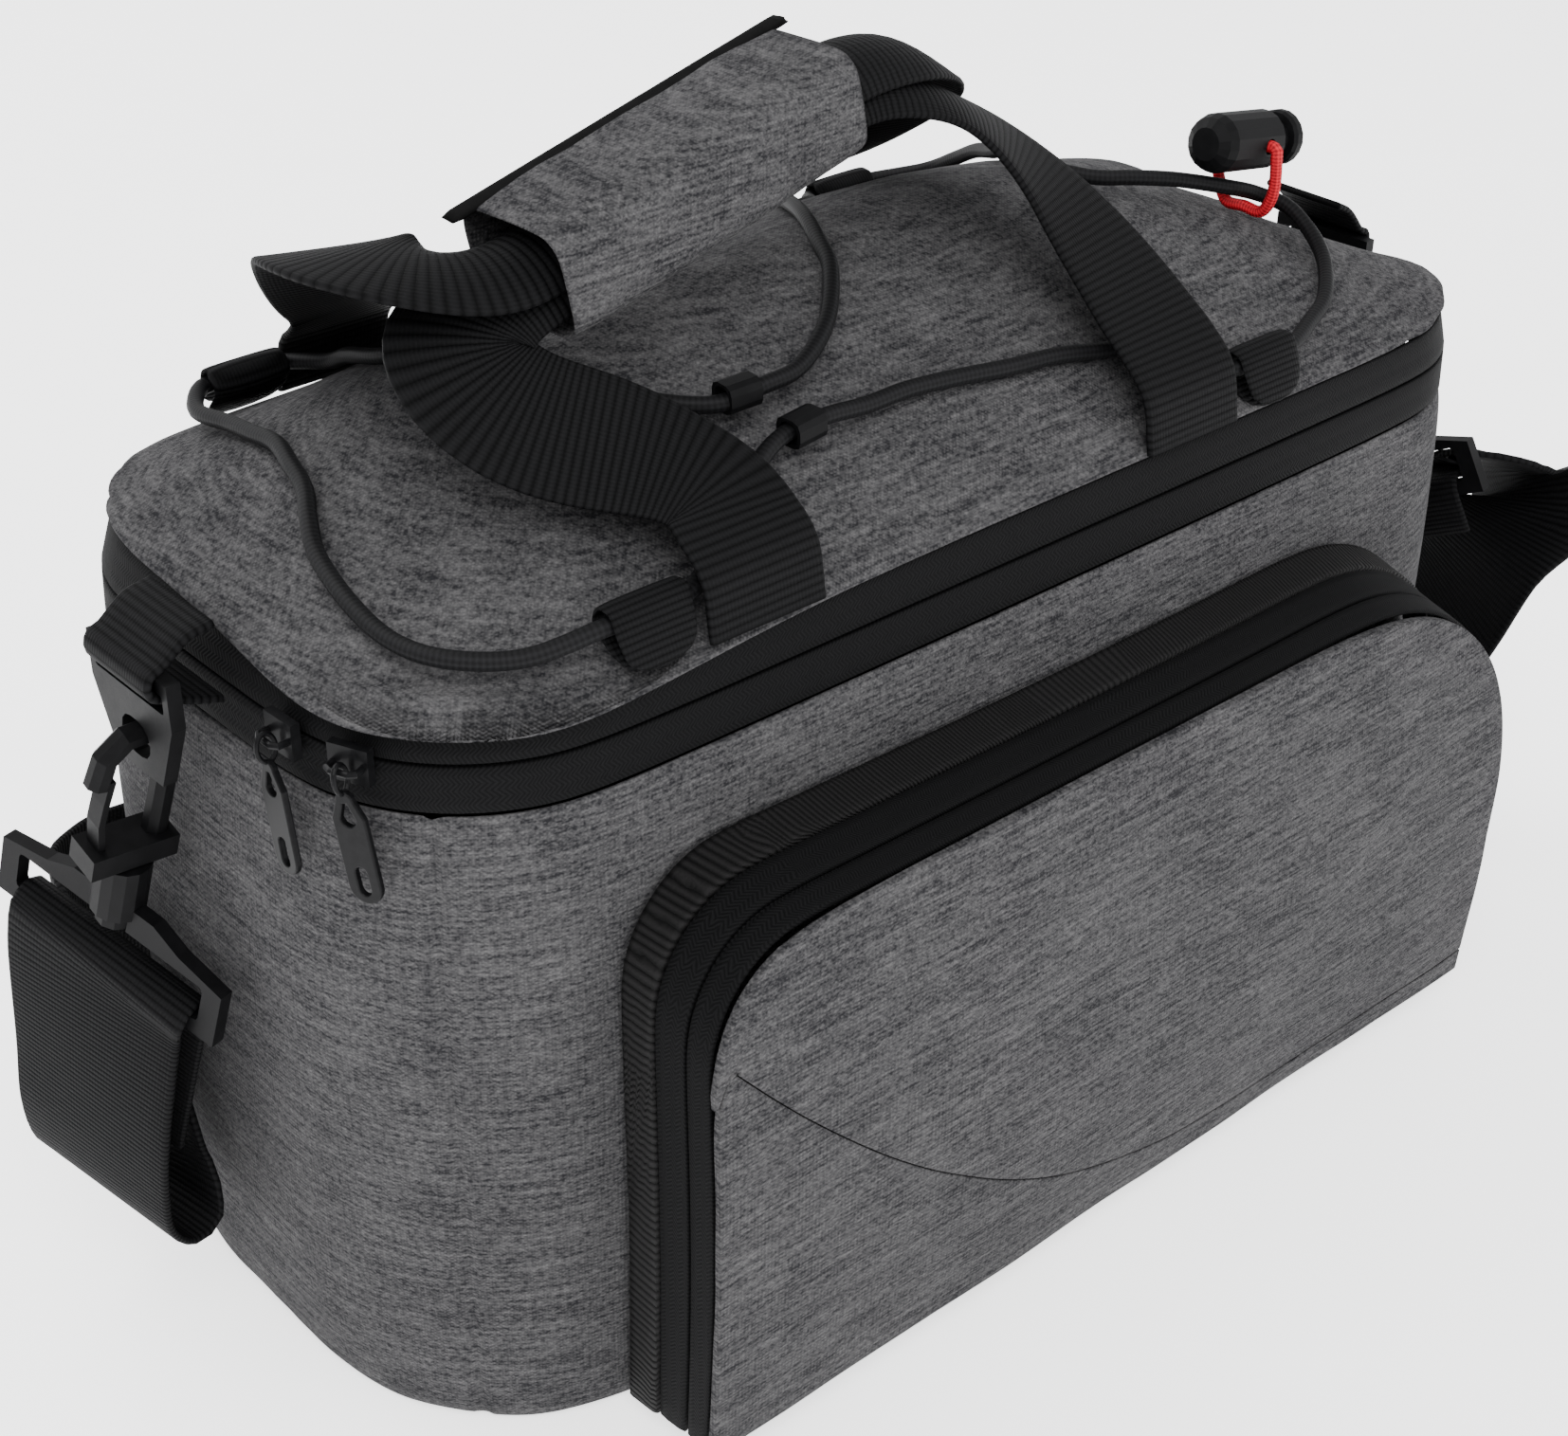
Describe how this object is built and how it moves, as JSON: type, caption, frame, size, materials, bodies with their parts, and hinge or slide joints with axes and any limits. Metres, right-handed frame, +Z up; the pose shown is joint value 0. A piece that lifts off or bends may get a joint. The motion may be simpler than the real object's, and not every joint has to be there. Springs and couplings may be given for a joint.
{
  "type": "bicycle rack bag",
  "caption": "Grey fabric bicycle rack bag with a zipped lid, a zipped front pocket, wrapped carry handles, an elastic cord on top and a webbing shoulder strap.",
  "frame": {"origin": "centre of the base, on the surface that the bag stands on", "axes": "+X along the bag's length, away from the end with the main zip's two pulls; +Z up through the lid; -Y out through the front pocket"},
  "size_m": [0.4469, 0.2112, 0.2812],
  "materials": {
    "grey_cloth": "matte",
    "webbing": "matte",
    "zip_tape": "matte",
    "ribbed_band": "matte",
    "black_cord": "matte",
    "red_cord": "matte",
    "black_plastic": "satin",
    "black_metal": "gloss"
  },
  "bodies": {
    "root": {"body_tub": "grey_cloth", "lid": "grey_cloth", "main_zip_lower_tape": "zip_tape", "main_zip_upper_tape": "zip_tape", "main_zip_coil": "zip_tape", "lid_hinge": "grey_cloth", "main_zip_slider_1": "black_metal", "main_zip_slider_2": "black_metal", "pocket_ribbed_band": "ribbed_band", "pocket_zip_rear_tape": "zip_tape", "pocket_zip_front_tape": "zip_tape", "pocket_zip_coil": "zip_tape", "pocket_face_lower": "grey_cloth", "pocket_face_upper": "grey_cloth", "pocket_floor": "grey_cloth", "pocket_slider": "black_metal", "front_handle": "webbing", "back_handle": "webbing", "handle_wrap": "grey_cloth", "wrap_flap": "webbing", "cord_loop_front_left": "webbing", "cord_loop_front_right": "webbing", "cord_loop_back_left": "webbing", "cord_loop_back_right": "webbing", "top_cord": "black_cord", "cord_clip_back": "black_plastic", "cord_clip_front": "black_plastic", "cord_lock_barrel": "black_plastic", "red_cord_loop": "red_cord", "left_end_tab": "webbing", "left_ring_plate": "black_plastic", "left_snap_hook": "black_plastic", "left_strap_frame": "black_plastic", "right_end_tab": "webbing", "right_ring_plate": "black_plastic", "right_snap_hook": "black_plastic", "right_strap_frame": "black_plastic", "shoulder_strap": "webbing"},
    "pull_1": {"main_zip_pull_1": "black_metal"},
    "pull_2": {"main_zip_pull_2": "black_metal"},
    "lock_button": {"cord_lock_button": "black_plastic"}
  },
  "joints": [
    {"name": "pull_1_hinge", "type": "hinge", "parent": "root", "child": "pull_1", "pos_m": [-0.1765, -0.03307, 0.1769], "axis": [-0.0379, 0.9993, 0], "range_deg": [0, 120]},
    {"name": "pull_2_hinge", "type": "hinge", "parent": "root", "child": "pull_2", "pos_m": [-0.17194, -0.05168, 0.1769], "axis": [-0.4019, 0.9157, 0], "range_deg": [0, 120]},
    {"name": "lock_button_slide", "type": "slide", "parent": "root", "child": "lock_button", "axis": [-0.9836, -0.0499, 0.1734], "range_m": [0, 0.004], "stiffness_N_per_m": 1000}
  ]
}
